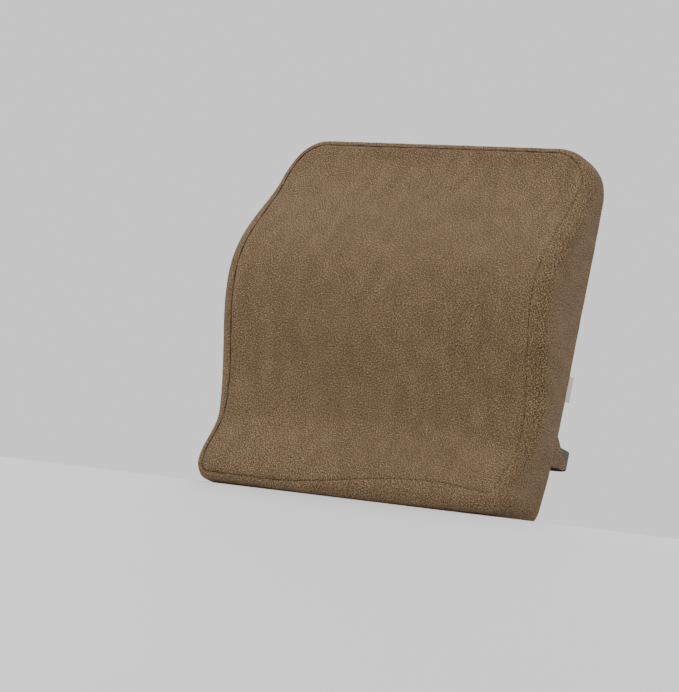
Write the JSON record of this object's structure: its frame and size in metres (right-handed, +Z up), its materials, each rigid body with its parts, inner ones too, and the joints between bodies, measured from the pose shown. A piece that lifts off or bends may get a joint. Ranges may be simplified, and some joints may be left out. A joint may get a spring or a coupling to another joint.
{
  "type": "back cushion",
  "caption": "Contoured foam back cushion with lumbar bulge, zip-off knit cover and a buckled strap that goes round a chair's back.",
  "frame": {"origin": "middle of the flat foot that stands on the seat", "axes": "+Z up the flat back, -Y towards the sitter, +X to the sitter's left as seen from the front"},
  "size_m": [0.41, 0.1598, 0.425],
  "materials": {
    "foam": "open-cell foam, matte",
    "liner": "thin knit, matte",
    "cover_cloth": "heathered brown knit, matte",
    "back_mesh": "dark spacer mesh, matte",
    "zip_tape": "woven tape, matte",
    "zip_coil": "nylon coil",
    "zip_metal": "dark nickel",
    "label_satin": "blank satin label",
    "webbing": "black woven webbing",
    "buckle_plastic": "moulded acetal"
  },
  "bodies": {
    "cushion": {"foam_core": "foam", "foam_liner": "liner", "cover_front_panel": "cover_cloth", "cover_boxing": "cover_cloth", "cover_back_panel": "back_mesh", "cover_back_hem": "back_mesh", "zip_tape_upper": "zip_tape", "zip_tape_lower": "zip_tape", "zip_coil_upper": "zip_coil", "zip_coil_lower": "zip_coil", "zip_stops": "zip_metal", "care_label": "label_satin", "anchor_tab_right": "cover_cloth", "anchor_tab_left": "cover_cloth", "strap_right": "webbing", "strap_left": "webbing", "buckle_socket": "buckle_plastic"},
    "slider": {"zip_slider": "zip_metal"},
    "pull": {"zip_pull": "zip_metal"},
    "adjuster": {"strap_adjuster": "buckle_plastic"},
    "plug": {"buckle_plug": "buckle_plastic"}
  },
  "joints": [
    {"name": "zip_slide", "type": "slide", "parent": "cushion", "child": "slider", "axis": [-1, 0, 0], "range_m": [0, 0.317]},
    {"name": "zip_pull_flip", "type": "hinge", "parent": "slider", "child": "pull", "pos_m": [0.1585, 0.05465, 0.027], "axis": [0, 0, -1], "range_deg": [0, 165]},
    {"name": "buckle_release", "type": "slide", "parent": "cushion", "child": "plug", "axis": [1, 0, 0], "range_m": [0, 0.04], "deforming": ["strap_right"]},
    {"name": "adjuster_slide", "type": "slide", "parent": "cushion", "child": "adjuster", "axis": [1, 0, 0], "range_m": [-0.032, 0.026]}
  ]
}
